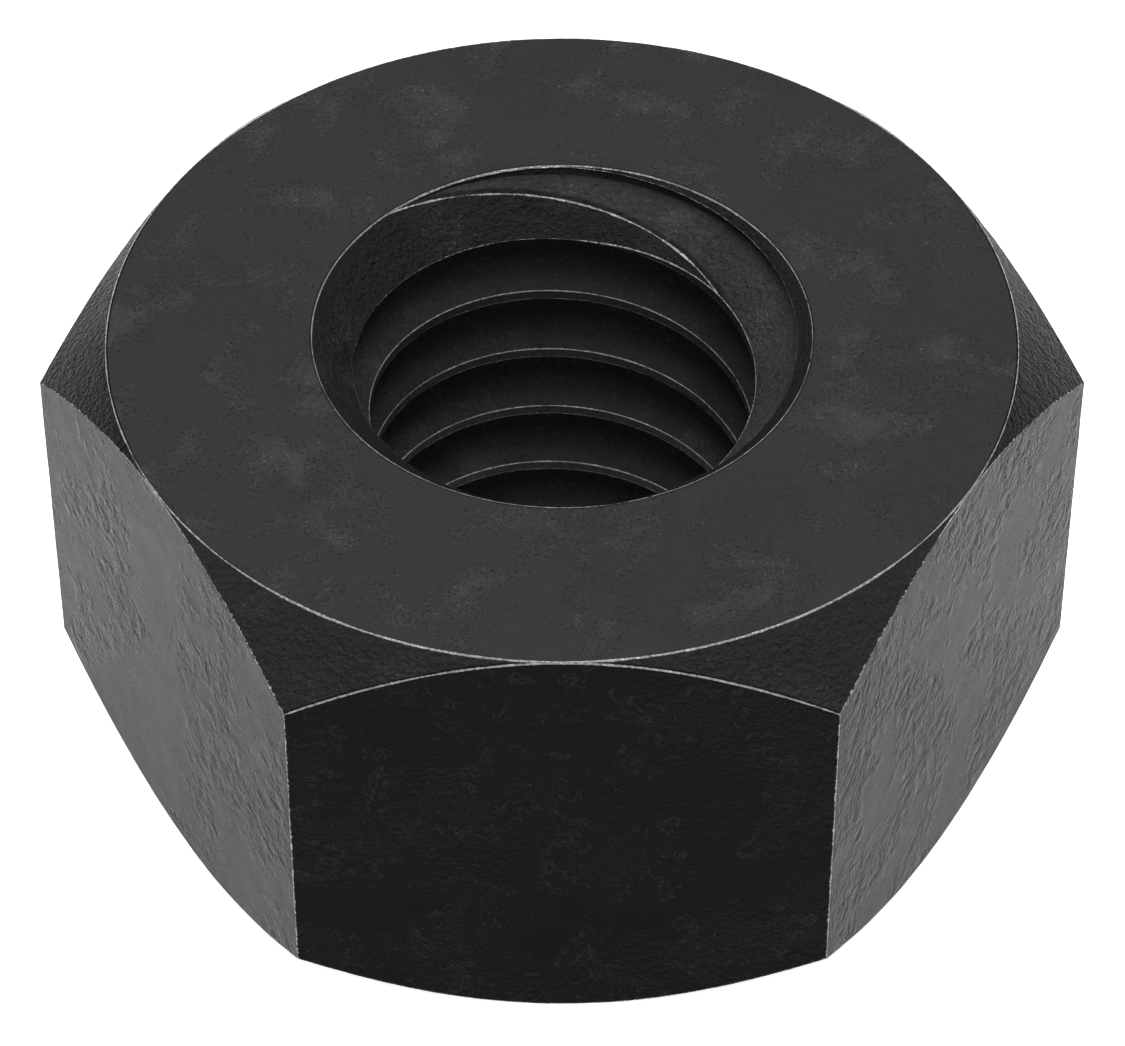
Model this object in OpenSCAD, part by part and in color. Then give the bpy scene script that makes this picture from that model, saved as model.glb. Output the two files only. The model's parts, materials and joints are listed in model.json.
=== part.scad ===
// Heavy hex nut, forged blank with a tapped right-hand unified coarse thread.
// The lower bearing face lies on z = 0, the thread runs along Z, and two corners lie on the X axis.

/* [Hexagon] */
// Width across the flats
across_flats = 17.4625; // [14:0.0125:25]
// Height from one bearing face to the other
nut_h = 9.575; // [6:0.025:16]
// Angle between a corner chamfer and the bearing face
chamfer_angle = 45; // [20:1:50]
// How far the rim of a bearing face stays inside the flats
rim_inset = 0.02; // [0.01:0.01:0.5]

/* [Thread] */
// Major diameter, across the bottoms of the groove
thread_d = 9.525; // [7:0.025:12]
// Pitch, the climb in one turn
thread_pitch = 1.5875; // [1:0.0125:2]
// Angle between the two flanks of the groove
flank_angle = 60; // [50:1:60]
// Width of the flat land between two turns of the groove
crest_w = 0.2; // [0.1:0.01:0.3]
// Width of the flat at the bottom of the groove
root_w = 0.2; // [0.1:0.01:0.3]
// Direction, counted from the X axis, in which the groove runs out through the upper face
start_angle = 117; // [0:1:359]
// How far every other arc of the land is relieved, so that each arc is a face of its own
crest_relief = 0.01; // [0.005:0.005:0.02]

/* [Countersinks] */
// How much wider than the thread each countersink is at its bearing face
sink_clear = 0.05; // [0.02:0.01:0.5]
// Angle between opposite walls of a countersink
sink_angle = 90; // [80:1:120]

/* [Hidden] */
finish_color = "#383637";

corners = 6;
round_fn = 96;
corner_r = across_flats / 2 / cos(180 / corners);
rim_r = across_flats / 2 - rim_inset;
thread_depth = (thread_pitch - crest_w - root_w) / 2 / tan(flank_angle / 2);
major_r = thread_d / 2;
minor_r = major_r - thread_depth;
sink_r = major_r + sink_clear / 2;

overcut = 0.05; // how far each cutter passes beyond what it cuts
stations = 48; // sections of the groove in one turn
land_arcs = 8; // arcs of the land in one turn, half of them relieved
groove_mouth = thread_pitch - crest_w;
runout = groove_mouth / 2 + overcut; // how far the groove's middle goes beyond each face
first_station = floor(-(nut_h + runout) / thread_pitch * stations);
last_station = ceil(runout / thread_pitch * stations);

// A section of the groove as [distance from the axis, height above the groove's middle]
mouth_r = minor_r - overcut;
mouth_half = groove_mouth / 2 + overcut * tan(flank_angle / 2);
groove_section = [
    [mouth_r, -mouth_half], [major_r, -root_w / 2],
    [major_r, root_w / 2], [mouth_r, mouth_half],
];

// Turns a section to its place along the right-hand helix, counted in stations from the upper face
function along_helix(section, station) =
    let (a = start_angle + 360 * station / stations)
    [for (p = section)
        [p[0] * cos(a), p[0] * sin(a), p[1] + nut_h + thread_pitch * station / stations]];

// Joins equal rings of points, listed from the first to the last, into one closed solid
module swept(rings) {
    n = len(rings[0]);
    last = (len(rings) - 1) * n;
    walls = [for (i = [0 : len(rings) - 2], j = [0 : n - 1])
        let (a = i * n + j, b = i * n + (j + 1) % n)
        each [[a, b + n, a + n], [a, b, b + n]]];
    start_cap = [for (j = [1 : n - 2]) [0, j + 1, j]];
    end_cap = [for (j = [1 : n - 2]) [last, last + j, last + j + 1]];
    polyhedron([for (r = rings) each r], concat(walls, start_cap, end_cap), convexity = 12);
}

// The forged blank: a hexagonal prism whose corners a cone trims at either end
module blank() {
    reach = corner_r + overcut;
    trim = (reach - rim_r) * tan(chamfer_angle);
    intersection() {
        cylinder(r = corner_r, h = nut_h, $fn = corners);
        rotate_extrude($fn = round_fn)
            polygon([
                [0, 0], [rim_r, 0], [reach, trim],
                [reach, nut_h - trim], [rim_r, nut_h], [0, nut_h],
            ]);
    }
}

module countersink() {
    depth = (sink_r - mouth_r) / tan(sink_angle / 2);
    wider = sink_r + overcut * tan(sink_angle / 2);
    translate([0, 0, -depth])
        cylinder(r1 = mouth_r, r2 = wider, h = depth + overcut, $fn = round_fn);
}

// The bore inside the thread, with every other arc of its wall a hair wider
module bore() {
    arc = 360 / land_arcs;
    translate([0, 0, -overcut]) {
        cylinder(r = minor_r, h = nut_h + 2 * overcut, $fn = round_fn);
        for (a = [0 : 2 * arc : 360 - arc])
            rotate([0, 0, a])
                rotate_extrude(angle = arc, $fn = round_fn)
                    square([minor_r + crest_relief, nut_h + 2 * overcut]);
    }
}

module thread_groove() {
    swept([for (s = [first_station : last_station]) along_helix(groove_section, s)]);
}

module hex_nut() {
    color(finish_color)
        difference() {
            blank();
            bore();
            translate([0, 0, nut_h]) countersink();
            mirror([0, 0, 1]) countersink();
            thread_groove();
        }
}

hex_nut();
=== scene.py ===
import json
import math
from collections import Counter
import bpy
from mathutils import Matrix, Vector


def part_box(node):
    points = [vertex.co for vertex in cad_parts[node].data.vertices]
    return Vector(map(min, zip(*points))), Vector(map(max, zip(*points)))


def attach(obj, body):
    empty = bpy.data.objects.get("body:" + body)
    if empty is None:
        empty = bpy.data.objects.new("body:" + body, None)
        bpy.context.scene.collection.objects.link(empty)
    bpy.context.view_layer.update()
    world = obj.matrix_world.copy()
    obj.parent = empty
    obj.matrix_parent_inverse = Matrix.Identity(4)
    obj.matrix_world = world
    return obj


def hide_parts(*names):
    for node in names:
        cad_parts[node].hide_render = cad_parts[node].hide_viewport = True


bl_info = {
    "name": "Heavy hex nut",
    "version": (1, 0, 0),
    "blender": (4, 5, 0),
    "location": "3D View > Sidebar > Hex nut",
    "description": "Models a forged and tapped heavy hex nut with a worn black finish",
    "category": "Add Mesh",
}

import bpy

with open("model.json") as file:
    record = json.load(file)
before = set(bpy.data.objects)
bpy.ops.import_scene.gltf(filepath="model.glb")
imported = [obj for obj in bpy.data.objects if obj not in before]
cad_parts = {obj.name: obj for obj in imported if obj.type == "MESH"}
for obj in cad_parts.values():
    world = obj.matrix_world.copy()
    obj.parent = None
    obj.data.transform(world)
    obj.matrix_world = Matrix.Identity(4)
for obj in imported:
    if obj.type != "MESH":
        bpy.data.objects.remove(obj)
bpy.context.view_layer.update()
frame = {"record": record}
LOW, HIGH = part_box("hex_nut")
THREAD = next(m for m in frame["record"]["mounts"] if m["name"] == "thread")

MM = 0.001  # the nut is shaped in millimetres, and made metres at the end
ACROSS_FLATS = (HIGH.y - LOW.y) / MM
ACROSS_CORNERS = (HIGH.x - LOW.x) / MM
HEIGHT = (HIGH.z - LOW.z) / MM
LAND_R = THREAD["dims"]["r_mm"]
FLAT = ACROSS_FLATS / 2  # from the axis to a flat
FLANK_TILT = math.radians(30)  # between a flank of the thread and a plane across the axis


# ---------------------------------------------------------------- sizes and colours


def length_property(name, description, default_mm):
    """A length property, given in millimetres and kept in metres."""
    return bpy.props.FloatProperty(
        name=name,
        description=description,
        default=default_mm * MM,
        min=0,
        precision=6,
        unit="LENGTH",
        subtype="DISTANCE",
    )


def angle_property(name, description, default):
    """An angle property, given in degrees."""
    return bpy.props.FloatProperty(
        name=name, description=description, default=math.radians(default), subtype="ANGLE"
    )


def colour_property(name, description, default):
    """A colour property."""
    return bpy.props.FloatVectorProperty(
        name=name, description=description, default=default, size=3, min=0, max=1, subtype="COLOR"
    )


class NutSizes(bpy.types.PropertyGroup):
    """The sizes of the nut that a user would change."""

    rim_inset: length_property(
        "Rim inset", "How far the rim of a bearing face stays inside the flats", 0.02
    )
    thread_d: length_property("Thread diameter", "Major diameter, across the bottoms of the groove", 9.525)
    pitch: length_property("Pitch", "Climb of the thread in one turn", 1.5875)
    land: length_property("Land", "Width of the flat between two turns of the groove", 0.2)
    root: length_property("Root", "Width of the flat at the bottom of the groove", 0.2)
    sink_clear: length_property(
        "Countersink margin", "How much wider than the thread a countersink is", 0.05
    )
    start: angle_property("Run-out", "Direction in which the groove runs out of the upper face", 117)


class FinishColours(bpy.types.PropertyGroup):
    """The colours of the nut's finish."""

    oxide: colour_property("Oxide", "Black oxide, the main colour", (0.0315, 0.030, 0.031))
    scale: colour_property("Scale", "Greyer forging scale, in clouds", (0.042, 0.041, 0.042))
    # Besides wear, this colour is mixed in for the painted highlight lines on the flats that face Y and
    # for the painted light in the groove.
    worn: colour_property("Worn edge", "Steel that shows where an edge has rubbed", (0.42, 0.41, 0.40))


class StudioSettings(bpy.types.PropertyGroup):
    """The camera and the floor."""

    tilt: angle_property("Tilt", "How far the camera looks down", 45.49)
    distance: length_property("Distance", "From the camera to the point that it looks at", 102.866)
    aim: length_property("Aim", "Height of the point that the camera looks at", 3.315)
    focal: bpy.props.FloatProperty(
        name="Focal length", description="Focal length in millimetres", default=164.77, min=1
    )
    floor: colour_property("Floor", "Pale studio floor", (0.9, 0.9, 0.9))


# ---------------------------------------------------------------- modelling by hand


def deselect():
    """Leaves nothing selected."""
    for obj in bpy.context.selected_objects:
        obj.select_set(False)


def added(operator, **settings):
    """Adds a primitive with nothing else selected, and applies its place to its mesh."""
    deselect()
    operator(**settings)
    bpy.ops.object.transform_apply(location=True, rotation=True, scale=True)
    return bpy.context.object


def edit(obj, kind, test):
    """Opens a mesh in edit mode with just the faces, edges or vertices that pass a test selected."""
    deselect()
    obj.select_set(True)
    bpy.context.view_layer.objects.active = obj
    bpy.ops.object.mode_set(mode="EDIT")
    bpy.ops.mesh.select_mode(type=kind)
    bpy.ops.mesh.select_all(action="DESELECT")
    bpy.ops.object.mode_set(mode="OBJECT")
    mesh = obj.data
    parts = {"FACE": mesh.polygons, "EDGE": mesh.edges, "VERT": mesh.vertices}[kind]
    for part in parts:
        part.select = test(part)
    bpy.ops.object.mode_set(mode="EDIT")


def done():
    """Closes edit mode."""
    bpy.ops.object.mode_set(mode="OBJECT")


def modified(obj, kind, **settings):
    """Adds a modifier and applies it."""
    deselect()
    obj.select_set(True)
    bpy.context.view_layer.objects.active = obj
    modifier = obj.modifiers.new(kind.title(), kind)
    for setting, value in settings.items():
        setattr(modifier, setting, value)
    bpy.ops.object.modifier_apply(modifier=modifier.name)


def combined(obj, tool, operation):
    """Cuts an object with a tool, or keeps what they share, and throws the tool away."""
    modified(obj, "BOOLEAN", object=tool, operation=operation, solver="MANIFOLD")
    bpy.data.objects.remove(tool)


# ---------------------------------------------------------------- the nut

# Lengths are in millimetres.
SIDES = 6
FINE = 64  # rows of faces across each side of the blank
ROUND = 192  # faces round a turned surface
CHAMFER_ROWS = 10  # rows of faces down a chamfer
STRAIGHT = 0.25  # the bevel profile that is flat
END = 0.9  # a face whose normal has more than this along Z is an end
SQUARE = 1  # side of the plane that the groove's section is shaped from
GROOVE_STEPS = 120  # sections of the groove in one turn
FLANK_ROWS = 4  # rows of faces down a flank
OVERCUT = 0.05  # how far a tool passes beyond what it cuts
SLIVER = 0.015  # points nearer than this are merged
WAVE_LENGTH = 0.8
WAVE_HEIGHT = 0.016
WAVE_DETAIL = 3
SHARP = math.radians(25)  # edges that turn more than this stay sharp


def blank():
    """The hexagonal prism, with its corners on X and a fine grid of faces all over."""
    nut = added(
        bpy.ops.mesh.primitive_cylinder_add,
        vertices=SIDES,
        radius=ACROSS_CORNERS / 2,
        depth=HEIGHT,
        end_fill_type="TRIFAN",
        location=(0, 0, HEIGHT / 2),
        rotation=(0, 0, math.pi / SIDES),
    )
    nut.name = "black_nut"
    edit(nut, "FACE", lambda face: True)
    bpy.ops.mesh.subdivide(number_cuts=FINE - 1)
    done()
    return nut


def chamfer_turning(sizes):
    """A turned disc with a cone at either end, which trims the corners of the blank."""
    reach = ACROSS_CORNERS / 2 + OVERCUT
    trim = reach - (FLAT - sizes.rim_inset / MM)
    disc = added(
        bpy.ops.mesh.primitive_cylinder_add,
        vertices=ROUND,
        radius=reach,
        depth=HEIGHT,
        location=(0, 0, HEIGHT / 2),
    )
    heights = [v.co.z for v in disc.data.vertices]
    edit(disc, "EDGE", lambda edge: heights[edge.vertices[0]] == heights[edge.vertices[1]])
    bpy.ops.mesh.bevel(offset=trim, segments=CHAMFER_ROWS, profile=STRAIGHT, affect="EDGES")
    done()
    return disc


def reamer(sizes):
    """The plain bore with its two countersinks, as one turned tool."""
    wide = (sizes.thread_d + sizes.sink_clear) / 2 / MM
    depth = wide - LAND_R
    flare = (wide + OVERCUT) / LAND_R
    tool = added(
        bpy.ops.mesh.primitive_cylinder_add,
        vertices=ROUND,
        radius=LAND_R,
        depth=HEIGHT - 2 * depth,
        location=(0, 0, HEIGHT / 2),
    )
    for way in (1, -1):
        edit(tool, "FACE", lambda face, way=way: face.normal.z * way > END)
        bpy.ops.mesh.extrude_region_move(
            TRANSFORM_OT_translate={"value": (0, 0, way * (depth + OVERCUT))}
        )
        bpy.ops.transform.resize(value=(flare, flare, 1))
        done()
    return tool


def groove(sizes):
    """The helical groove that the tap cuts, as a closed sweep that runs past both faces."""
    pitch, land, root = (size / MM for size in (sizes.pitch, sizes.land, sizes.root))
    bottom = sizes.thread_d / 2 / MM
    mouth = LAND_R - OVERCUT
    mouth_width = pitch - land + 2 * OVERCUT * math.tan(FLANK_TILT)
    turns = math.ceil(HEIGHT / pitch) + 2
    climb_to_start = sizes.start / math.tau * pitch
    first = HEIGHT - climb_to_start - (turns - 1) * pitch
    cutter = added(
        bpy.ops.mesh.primitive_plane_add,
        size=SQUARE,
        location=(0, 0, first),
        rotation=(math.radians(90), 0, 0),
    )
    edit(cutter, "VERT", lambda vertex: vertex.co.x > 0)
    bpy.ops.transform.resize(value=(1, 1, root), center_override=(0, 0, first))
    bpy.ops.transform.translate(value=(bottom - SQUARE / 2, 0, 0))
    done()
    edit(cutter, "VERT", lambda vertex: vertex.co.x < 0)
    bpy.ops.transform.resize(value=(1, 1, mouth_width), center_override=(0, 0, first))
    bpy.ops.transform.translate(value=(mouth + SQUARE / 2, 0, 0))
    done()
    edit(cutter, "FACE", lambda face: True)
    bpy.ops.mesh.delete(type="ONLY_FACE")
    done()
    reaches = [v.co.x for v in cutter.data.vertices]
    edit(cutter, "EDGE", lambda edge: reaches[edge.vertices[0]] != reaches[edge.vertices[1]])
    bpy.ops.mesh.subdivide(number_cuts=FLANK_ROWS - 1)
    done()
    modified(
        cutter,
        "SCREW",
        axis="Z",
        angle=math.tau,
        screw_offset=pitch,
        iterations=turns,
        steps=GROOVE_STEPS,
        render_steps=GROOVE_STEPS,
    )
    edit(cutter, "EDGE", lambda edge: False)
    bpy.ops.mesh.select_non_manifold()
    bpy.ops.mesh.fill_holes(sides=0)
    bpy.ops.mesh.select_all(action="SELECT")
    bpy.ops.mesh.normals_make_consistent(inside=False)
    done()
    return cutter


def forged_skin(nut):
    """Cleans the cut mesh down to triangles, and gives it the faint waves of a forged skin."""
    edit(nut, "VERT", lambda vertex: True)
    bpy.ops.mesh.remove_doubles(threshold=SLIVER)
    done()
    edges_at = Counter(index for edge in nut.data.edges for index in edge.vertices)
    edit(nut, "VERT", lambda vertex: edges_at[vertex.index] == 2)
    bpy.ops.mesh.dissolve_verts()
    bpy.ops.mesh.select_all(action="SELECT")
    bpy.ops.mesh.quads_convert_to_tris(quad_method="BEAUTY", ngon_method="BEAUTY")
    done()
    waves = bpy.data.textures.new("forged_waves", "CLOUDS")
    waves.noise_scale = WAVE_LENGTH
    waves.noise_depth = WAVE_DETAIL
    modified(nut, "DISPLACE", texture=waves, strength=WAVE_HEIGHT)


class HEXNUT_OT_nut(bpy.types.Operator):
    """Forge, chamfer, bore and tap the nut, and give it its black finish"""

    bl_idname = "hexnut.nut"
    bl_label = "Nut"

    def execute(self, context):
        sizes = context.scene.nut_sizes
        nut = blank()
        combined(nut, chamfer_turning(sizes), "INTERSECT")
        combined(nut, reamer(sizes), "DIFFERENCE")
        combined(nut, groove(sizes), "DIFFERENCE")
        forged_skin(nut)
        nut.scale = (MM, MM, MM)
        bpy.ops.object.transform_apply(location=True, rotation=True, scale=True)
        bpy.ops.object.shade_smooth_by_angle(angle=SHARP)
        nut.data.materials.clear()
        nut.data.materials.append(black_finish(context.scene.nut_colours, sizes))
        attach(nut, "root")
        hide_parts("hex_nut")
        return {"FINISHED"}


# ---------------------------------------------------------------- mixing a finish


class Signal:
    """A value that varies over a surface; arithmetic on it adds Math nodes."""

    def __init__(self, finish, socket):
        self.finish = finish
        self.socket = socket

    def math(self, operation, *others):
        """A Math node's result, from this value and the others."""
        return self.finish.math(operation, self, *others)

    def __add__(self, other):
        return self.math("ADD", other)

    def __radd__(self, other):
        return self.finish.math("ADD", other, self)

    def __sub__(self, other):
        return self.math("SUBTRACT", other)

    def __rsub__(self, other):
        return self.finish.math("SUBTRACT", other, self)

    def __mul__(self, other):
        return self.math("MULTIPLY", other)

    def __rmul__(self, other):
        return self.finish.math("MULTIPLY", other, self)

    def __truediv__(self, other):
        return self.math("DIVIDE", other)

    def __abs__(self):
        return self.math("ABSOLUTE")

    def low(self, other):
        """The lower of two values."""
        return self.math("MINIMUM", other)

    def high(self, other):
        """The higher of two values."""
        return self.math("MAXIMUM", other)

    def rise(self, start, end):
        """Rises smoothly from 0 to 1 as the value goes from start to end."""
        return self.finish.node(
            "ShaderNodeMapRange",
            {"interpolation_type": "SMOOTHSTEP"},
            {"Value": self, "From Min": start, "From Max": end},
        )


class Finish:
    """A material in the making."""

    def __init__(self, name):
        self.material = bpy.data.materials.new(name)
        self.material.use_nodes = True
        self.tree = self.material.node_tree
        self.shader = self.tree.nodes["Principled BSDF"]
        metres = self.node("ShaderNodeTexCoord", output="Object")
        self.place = self.scaled(metres, 1 / MM)

    def node(self, kind, settings=None, values=None, output=0):
        """Adds a node, sets it, and gives its sockets their values or links."""
        made = self.tree.nodes.new(kind)
        for setting, value in (settings or {}).items():
            setattr(made, setting, value)
        self.feed(made, values or {})
        return Signal(self, made.outputs[output])

    def feed(self, node, values):
        """Gives a node's sockets their values or links."""
        for socket, value in values.items():
            if isinstance(value, Signal):
                self.tree.links.new(value.socket, node.inputs[socket])
            else:
                node.inputs[socket].default_value = value

    def math(self, operation, *values):
        """A Math node's result, from the values in their order."""
        return self.node("ShaderNodeMath", {"operation": operation}, dict(enumerate(values)))

    def scaled(self, vector, factor):
        """A vector times a number."""
        return self.node("ShaderNodeVectorMath", {"operation": "SCALE"}, {0: vector, "Scale": factor})

    def noise(self, size, detail, roughness=0.5, distortion=0.0, shift=0.0):
        """Noise around a half, with lumps of a size in millimetres."""
        place = self.place
        if shift:
            place = self.node("ShaderNodeVectorMath", {"operation": "ADD"}, {0: place, 1: (shift,) * 3})
        return self.node(
            "ShaderNodeTexNoise",
            values={
                "Vector": place,
                "Scale": 1 / size,
                "Detail": detail,
                "Roughness": roughness,
                "Distortion": distortion,
            },
        )

    def mixed(self, share, first, second):
        """A colour between two others."""
        return self.node("ShaderNodeMix", {"data_type": "RGBA"}, {0: share, 6: first, 7: second}, output=2)


# ---------------------------------------------------------------- the finish

BLACK = (0, 0, 0, 1)
GROOVE_PAINTED_LIGHT = (0.005, 0.005, 0.005, 1)  # painted light: a faint glow given to the bottom of the groove, in place of the light that still reaches it
REFRACTION = 1.1  # low, so that the steel is dark seen straight on and shines at a low angle
RELIEF = 0.15  # how far a relief height of 1 stands out, in millimetres
SINK_HARDNESS = 2.1  # a countersink meets a flank at a low angle, and wears more narrowly there

# The noises, with the size of their lumps in millimetres. A shift of its own keeps each one apart.
PATCHES = {"size": 2.6, "detail": 5, "roughness": 0.62, "distortion": 0.3, "shift": 31}
CLOUDS = {"size": 1.6, "detail": 7, "roughness": 0.68, "distortion": 0.3, "shift": 5}
LUMPS = {"size": 0.11, "detail": 3, "roughness": 0.6, "distortion": 0.1, "shift": 7}
FOLDS = {"size": 0.4, "detail": 3, "roughness": 0.6, "distortion": 0.3, "shift": 17}
CRUMPLE = {"size": 0.35, "detail": 4, "roughness": 0.6, "distortion": 0.2, "shift": 23}
CREASES = {"size": 0.55, "detail": 4, "roughness": 0.55, "distortion": 0.4, "shift": 29}
GRAIN = {"size": 0.06, "detail": 2, "roughness": 0.6}
PITS = {"size": 0.06, "detail": 2, "roughness": 0.6, "shift": 53}
SPECKS = {"size": 0.05, "detail": 2, "roughness": 0.7, "shift": 59}
DUST_AND_PAINTED_LIGHT = {"size": 0.1, "detail": 4, "roughness": 0.75, "shift": 37}
HIGHLIGHT_LINE_GAPS = {"size": 0.5, "detail": 3, "roughness": 0.6, "shift": 83}
RAGGED = {"size": 0.07, "detail": 3, "roughness": 0.8, "shift": 11}
UNEVEN = {"size": 3, "detail": 2, "roughness": 0.5, "shift": 91}


def surface(finish, sizes):
    """Tells how near a point is to an edge, and what kind of face it is on.

    Each face of the nut gives a depth, which is 0 on the face and grows into the steel. On a face
    the least depth is its own, so the next one tells how near the edge is. Lengths are in
    millimetres, and the other values are masks from 0 to 1."""
    x, y, z = (
        finish.node("ShaderNodeSeparateXYZ", values={0: finish.place}, output=axis) for axis in "XYZ"
    )
    radius = (x * x + y * y).math("SQRT")
    from_end = HEIGHT / 2 - abs(z - HEIGHT / 2)

    cos30 = math.cos(math.radians(30))
    sin30 = 0.5
    facing_y = abs(y)
    turned, turned_back = abs(x * cos30 + y * sin30), abs(x * cos30 - y * sin30)
    slanted = turned.high(turned_back)
    nearest = facing_y.high(slanted)
    farthest = facing_y.low(turned).low(turned_back)
    middle = facing_y + turned + turned_back - nearest - farthest

    bottom = sizes.thread_d / 2 / MM
    sink = bottom + sizes.sink_clear / 2 / MM
    rim = FLAT - sizes.rim_inset / MM
    pitch = sizes.pitch / MM
    turns = (z - HEIGHT) / pitch - y.math("ARCTAN2", x) / math.tau + sizes.start / math.tau
    from_land = pitch * abs(turns.math("FRACT") - 0.5)
    wall = (LAND_R + (from_land - sizes.land / 2 / MM) / math.tan(FLANK_TILT)).low(bottom)

    depths = [
        FLAT - nearest,
        FLAT - middle,
        from_end,
        (rim + from_end - radius) / math.sqrt(2),
        (radius + from_end - sink) * SINK_HARDNESS,
        radius - LAND_R,
        (radius - wall) * SINK_HARDNESS,
    ]
    least = depths[0].low(depths[1])
    second = depths[0].high(depths[1])
    for depth in depths[2:]:
        second = second.low(least.high(depth))
        least = least.low(depth)

    off_end = from_end.rise(0.02, 0.3)
    outside = radius.rise(sink, sink + 1)
    in_bore = 1 - radius.rise(sink - 0.05, sink)
    on_sink = 1 - (radius + from_end - sink).rise(0.03, 0.06)
    in_groove = in_bore * (1 - on_sink)
    return {
        "x": x,
        "edge": second,
        "off_end": off_end,
        "slanted": (slanted - facing_y).rise(-0.4, 0.4) * off_end * outside,
        "slanted_rim": (slanted - facing_y).rise(0, 4),
        "facing_y": (facing_y - FLAT).rise(-0.05, -0.03) * from_end.rise(0.02, 0.06),
        "chamfer": (radius - from_end - rim).rise(-0.06, -0.03),
        "corner_on_x": abs(x).rise(7.6, 8.4),
        "bore": in_bore,
        "sink": on_sink,
        "groove": in_groove * radius.rise(LAND_R + 0.05, LAND_R + 0.3),
        "groove_bottom": in_groove * radius.rise(LAND_R + 0.2, LAND_R + 0.95),
    }


def skin_height(finish, where, grain, pits):
    """The height of the skin: fine lumps and folds in patches, coarser ones on the slanted flats."""
    patch = (finish.noise(**PATCHES) + 0.005 * where["x"]).rise(0.47, 0.56)
    patch = patch.high(0.8 * where["chamfer"]).high(0.6 * where["bore"])
    lumps = finish.noise(**LUMPS)
    folds = abs(finish.noise(**FOLDS) - 0.5)
    crumple = finish.noise(**CRUMPLE)
    creases = abs(finish.noise(**CREASES) - 0.5)

    # What is taken off the lumps is their mean, so that a patch lies level with what is round it.
    side = where["slanted"] * (1 - where["chamfer"])
    depth = (0.05 + 0.95 * patch) * (1 - 0.85 * where["facing_y"]) * (1 - 0.85 * side)
    depth = depth * (0.5 + 0.5 * where["off_end"])
    height = depth * (lumps - 0.8 * folds - 0.42) + 0.01 * grain * (1 - side) - 0.08 * pits
    return height + side * (0.02 + 0.6 * patch) * (crumple - 1.2 * creases - 0.4)


def edge_wear(finish, where):
    """A thin uneven line along the edges, broken up along the slanted flats."""
    ragged = finish.noise(**RAGGED)
    width = 0.004 + 0.022 * ragged + 0.008 * finish.noise(**UNEVEN)
    width = width * (1 - 0.5 * where["slanted_rim"])
    width = width * (1 - where["slanted"] * (1.25 - 1.5 * ragged.rise(0.5, 0.62)))
    wear = 1 - (where["edge"] / width.high(0.0005)).rise(0.7, 1.0)
    return wear * (0.45 + 0.55 * ragged.rise(0.35, 0.6))


def black_finish(colours, sizes):
    """Black oxide over forged skin: cloudy, rough in patches, and worn bright along the edges, with
    painted shade on some faces, painted highlight lines and a faint painted glow in the groove.
    """
    finish = Finish("black_finish")
    oxide = (*colours.oxide, 1)
    scale = (*colours.scale, 1)
    worn = (*colours.worn, 1)
    where = surface(finish, sizes)
    cloud = finish.noise(**CLOUDS)
    grain = finish.noise(**GRAIN)
    wear = edge_wear(finish, where)

    # Pits gather along the borders of the clouds.
    pits = finish.noise(**PITS).rise(0.58, 0.64)
    pits = pits * (cloud.rise(0.46, 0.52) - cloud.rise(0.58, 0.66))

    colour = finish.mixed((cloud + 0.2 * (grain - 0.5)).rise(0.48, 0.68), oxide, scale)
    # Painted shade: the flats that face Y, the countersinks and the chamfers, most at the corners on X,
    # are darkened in colour for how light falls on them; the pits are darkened as well.
    painted_shade_and_pits = (0.3 * pits).high(0.8 * where["facing_y"]).high(0.45 * where["sink"])
    painted_shade_and_pits = painted_shade_and_pits.high(where["chamfer"] * (0.2 + 0.6 * where["corner_on_x"]))
    colour = finish.mixed(painted_shade_and_pits, colour, BLACK)

    speck = finish.noise(**SPECKS).rise(0.64, 0.7) * cloud.rise(0.48, 0.6)
    colour = finish.mixed(0.2 * speck, colour, worn)
    # The groove is mixed a little towards the steel colour: dust in patches, and partly painted light that
    # lifts the shade deep in the groove.
    dust_and_painted_light = finish.noise(**DUST_AND_PAINTED_LIGHT).rise(0.5, 0.68)
    colour = finish.mixed(where["groove"] * (0.008 + 0.04 * dust_and_painted_light), colour, worn)

    # Painted highlights: thin lighter lines follow the outline of the clouds, with gaps, on the flats that
    # face Y.
    painted_highlight_lines = 1 - abs(cloud - 0.51).rise(0.003, 0.012)
    painted_highlight_lines = painted_highlight_lines * finish.noise(**HIGHLIGHT_LINE_GAPS).rise(0.46, 0.58)
    colour = finish.mixed(0.11 * painted_highlight_lines * where["facing_y"] * (1 - where["chamfer"]), colour, worn)

    # Painted light: the bottom of the groove glows faintly, more in the dust patches, in place of the
    # light that reaches it.
    painted_groove_light = where["groove_bottom"] * (0.6 + 0.8 * dust_and_painted_light)
    height = skin_height(finish, where, grain, pits)
    bumps = {"Strength": 1.0, "Distance": RELIEF * MM, "Height": height}
    finish.feed(
        finish.shader,
        {
            "Base Color": finish.mixed(wear, colour, worn),
            "Roughness": 0.2 + 0.08 * cloud + 0.1 * wear,
            "Metallic": 0.5 * wear,
            "Emission Color": finish.mixed(painted_groove_light, BLACK, GROOVE_PAINTED_LIGHT),
            "Emission Strength": 1.0,
            "IOR": REFRACTION,
            "Normal": finish.node("ShaderNodeBump", values=bumps),
        },
    )
    return finish.material


# ---------------------------------------------------------------- the studio

WHITE = (1, 1, 1, 1)
FLOOR_SIZE = 4  # metres
FLOOR_ROUGHNESS = 0.9
FLOOR_GLOW = 0.96  # emission strength, so that the floor stays pale under the soft lights
SKY = 0.07  # strength of the light that comes from all round

# Each soft light: its name, its place and the length of its side in metres, and its power in watts
LIGHTS = (
    ("top_light", (0, 0.1, 0.5), 0.5, 3.1),
    ("front_light", (0, -0.17, 0.46), 0.3, 1.1),
    ("left_light", (-0.4, 0.05, 0.08), 0.25, 0.05),
    ("right_light", (0.4, 0.05, 0.08), 0.25, 0.05),
)

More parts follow.
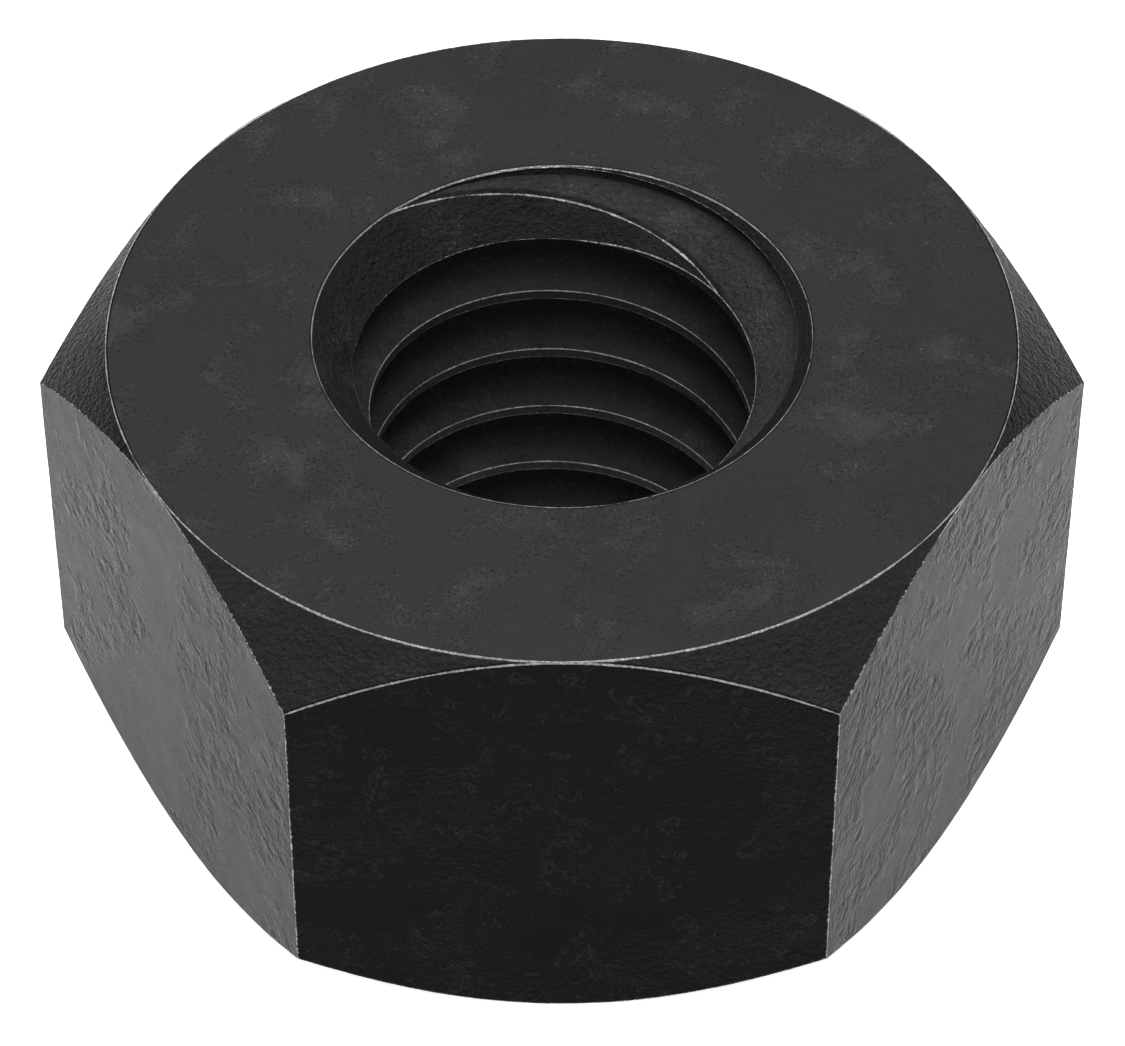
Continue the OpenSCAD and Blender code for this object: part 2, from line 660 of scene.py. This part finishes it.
SENSOR = 36  # millimetres
SHIFT = (0.0004, 0.0332)  # how far the nut stands off the middle of the view, in sensor widths
NEAREST = 0.001  # metres; nothing nearer to the camera is drawn


def soft_light(name, place, side, power):
    """A square soft light that faces the nut."""
    data = bpy.data.lights.new(name, "AREA")
    data.shape = "SQUARE"
    data.size = side
    data.energy = power
    light = bpy.data.objects.new(name, data)
    bpy.context.scene.collection.objects.link(light)
    light.location = place
    light.rotation_euler = light.location.to_track_quat("Z", "Y").to_euler()


def pale_floor(tint):
    """A pale floor that glows a little, and lights the nut only by reflection."""
    deselect()
    bpy.ops.mesh.primitive_plane_add(size=FLOOR_SIZE)
    floor = bpy.context.object
    floor.name = "studio_floor"
    pale = bpy.data.materials.new("pale_floor")
    pale.use_nodes = True
    shader = pale.node_tree.nodes["Principled BSDF"]
    shader.inputs["Base Color"].default_value = (*tint, 1)
    shader.inputs["Roughness"].default_value = FLOOR_ROUGHNESS
    shader.inputs["Emission Color"].default_value = WHITE
    shader.inputs["Emission Strength"].default_value = FLOOR_GLOW
    floor.data.materials.append(pale)
    floor.visible_diffuse = False


def sky(scene):
    """A faint even light from all round."""
    world = bpy.data.worlds.new("studio")
    world.use_nodes = True
    background = world.node_tree.nodes["Background"]
    background.inputs["Strength"].default_value = SKY
    background.inputs["Color"].default_value = WHITE
    scene.world = world


def camera(scene, settings):
    """A long lens that looks down on the front of the nut."""
    data = bpy.data.cameras.new("camera")
    data.lens = settings.focal
    data.sensor_width = SENSOR
    data.clip_start = NEAREST
    data.shift_x, data.shift_y = SHIFT
    viewer = bpy.data.objects.new("camera", data)
    scene.collection.objects.link(viewer)
    back = settings.distance * math.cos(settings.tilt)
    rise = settings.distance * math.sin(settings.tilt)
    viewer.location = (0, -back, settings.aim + rise)
    viewer.rotation_euler = (math.radians(90) - settings.tilt, 0, 0)
    scene.camera = viewer


class HEXNUT_OT_studio(bpy.types.Operator):
    """Set up the floor, the lights and the camera"""

    bl_idname = "hexnut.studio"
    bl_label = "Studio"

    def execute(self, context):
        scene = context.scene
        pale_floor(scene.nut_studio.floor)
        sky(scene)
        for light in LIGHTS:
            soft_light(*light)
        camera(scene, scene.nut_studio)
        scene.view_settings.view_transform = "Standard"
        return {"FINISHED"}


class HEXNUT_PT_panel(bpy.types.Panel):
    """Lists the pieces of the hex nut"""

    bl_idname = "HEXNUT_PT_panel"
    bl_label = "Hex nut"
    bl_space_type = "VIEW_3D"
    bl_region_type = "UI"
    bl_category = "Hex nut"

    def draw(self, context):
        for operator in OPERATORS:
            self.layout.operator(operator.bl_idname)


GROUPS = {"nut_sizes": NutSizes, "nut_colours": FinishColours, "nut_studio": StudioSettings}
OPERATORS = (HEXNUT_OT_nut, HEXNUT_OT_studio)
CLASSES = (*GROUPS.values(), *OPERATORS, HEXNUT_PT_panel)


def register():
    for cls in CLASSES:
        bpy.utils.register_class(cls)
    for name, group in GROUPS.items():
        setattr(bpy.types.Scene, name, bpy.props.PointerProperty(type=group))


def unregister():
    for name in GROUPS:
        delattr(bpy.types.Scene, name)
    for cls in reversed(CLASSES):
        bpy.utils.unregister_class(cls)


def main():
    register()
    bpy.ops.hexnut.nut()
    bpy.ops.hexnut.studio()


if __name__ == "__main__":
    main()
